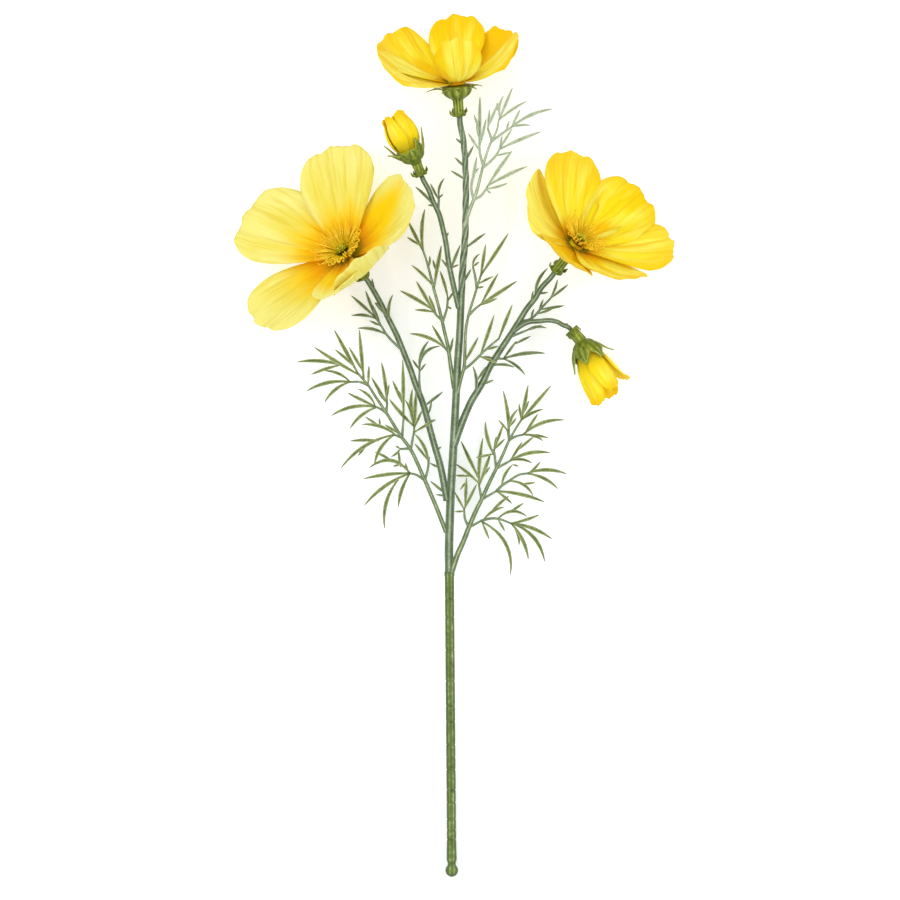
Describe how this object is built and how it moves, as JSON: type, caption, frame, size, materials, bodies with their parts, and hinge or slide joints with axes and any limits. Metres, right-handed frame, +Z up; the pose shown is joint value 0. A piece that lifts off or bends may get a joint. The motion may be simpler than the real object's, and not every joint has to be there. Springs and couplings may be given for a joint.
{
  "type": "cosmos flower spray",
  "caption": "Artificial cosmos spray with open yellow blooms, buds and feathery fronds on a branching stem with a ringed, green coated lower part.",
  "frame": {"origin": "middle of the bounding box, on the table that the spray lies on", "axes": "+Y along the stem from its cut end to the blooms, +Z up from the table, +X to the right seen from above with the blooms away from the viewer"},
  "size_m": [0.2806, 0.5518, 0.0838],
  "materials": {
    "lower_stem": "satin, ringed, fresh green coating",
    "branches": "fluted, dull grey-green moulding",
    "leaves": "dull olive green with a pale bloom",
    "calyx": "satin olive green moulding",
    "pale_petals": "soft lemon cloth with an orange base and fine veins",
    "golden_petals": "soft golden yellow cloth with fine veins",
    "stamens": "golden filaments with orange tips",
    "flower_centre": "dark olive, granular"
  },
  "bodies": {
    "root": {"lower_stem": "lower_stem", "centre_stem": "branches", "left_branch": "branches", "right_branch": "branches", "bud_branch": "branches", "nodding_bud_stalk": "branches", "left_low_frond": "leaves", "right_low_frond": "leaves", "left_mid_frond": "leaves", "right_mid_frond": "leaves", "top_right_frond": "leaves", "left_bloom_calyx": "calyx", "left_bloom_petals": "pale_petals", "left_bloom_stamens": "stamens", "left_bloom_centre": "flower_centre", "right_bloom_calyx": "calyx", "right_bloom_petals": "golden_petals", "right_bloom_stamens": "stamens", "right_bloom_centre": "flower_centre", "top_bloom_calyx": "calyx", "top_bloom_petals": "golden_petals", "top_bloom_stamens": "stamens", "top_bloom_centre": "flower_centre", "upright_bud_calyx": "calyx", "upright_bud_petals": "golden_petals", "nodding_bud_calyx": "calyx", "nodding_bud_petals": "golden_petals"}
  },
  "joints": []
}
